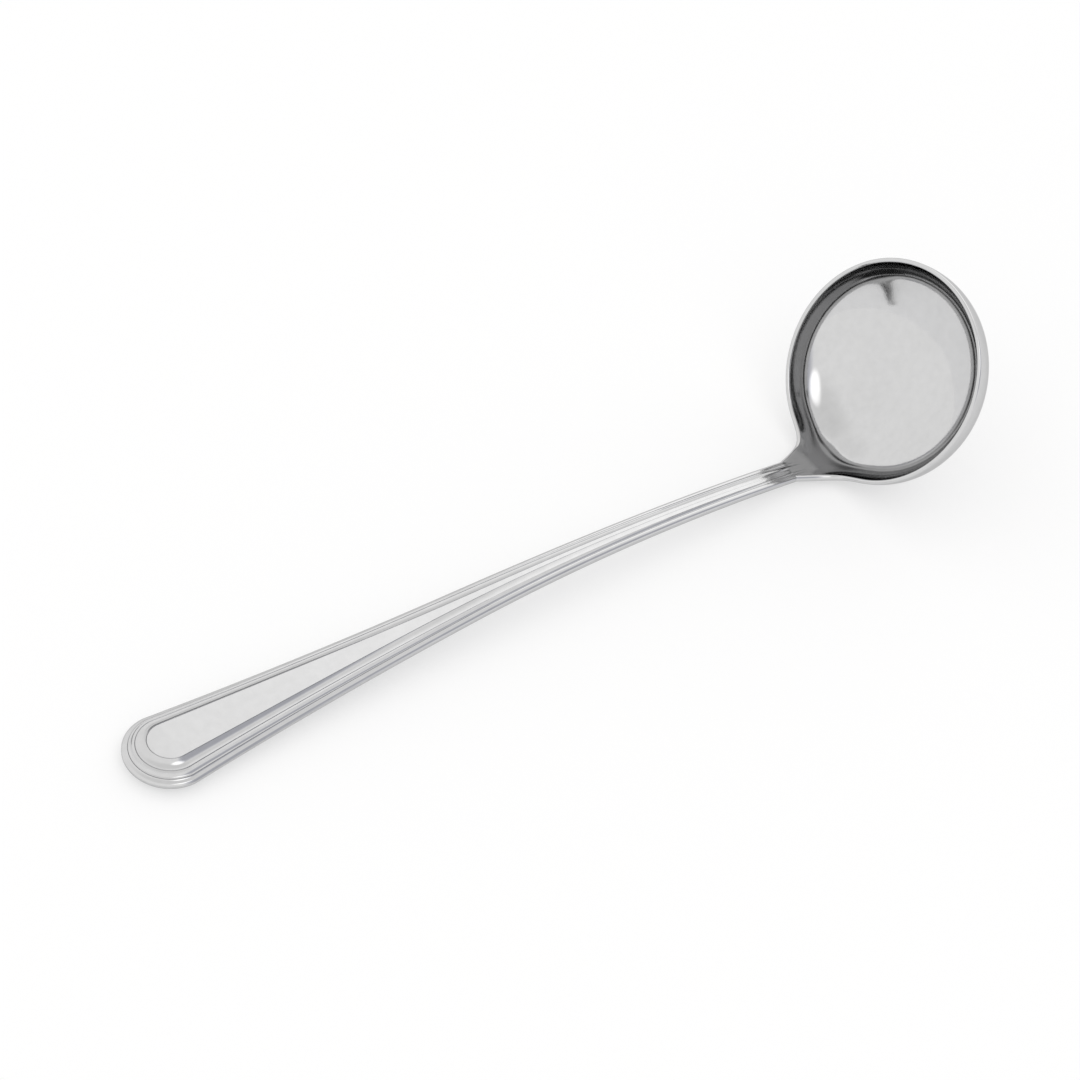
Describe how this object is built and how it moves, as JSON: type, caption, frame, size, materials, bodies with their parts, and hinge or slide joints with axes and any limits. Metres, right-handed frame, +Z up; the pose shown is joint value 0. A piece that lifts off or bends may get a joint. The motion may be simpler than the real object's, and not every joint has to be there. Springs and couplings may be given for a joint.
{
  "type": "salad dressing ladle",
  "caption": "Polished steel salad dressing ladle: a round drawn bowl leaning towards a long, arched, hollow handle with a raised tapering panel and stepped sides.",
  "frame": {"origin": "on the table under the middle of the ladle's box, as the ladle lies on its bowl and the end of its handle", "axes": "+X runs from the end of the handle to the bowl, +Y to the left, +Z up from the table"},
  "size_m": [0.2562, 0.06, 0.0528],
  "materials": {
    "polished_steel": "mirror polished",
    "ground_weld": "ground flush and polished"
  },
  "bodies": {
    "root": {"bowl": "polished_steel", "handle_front_shell": "polished_steel", "handle_back_shell": "polished_steel", "seam_weld": "ground_weld", "neck_weld": "ground_weld"}
  },
  "joints": []
}
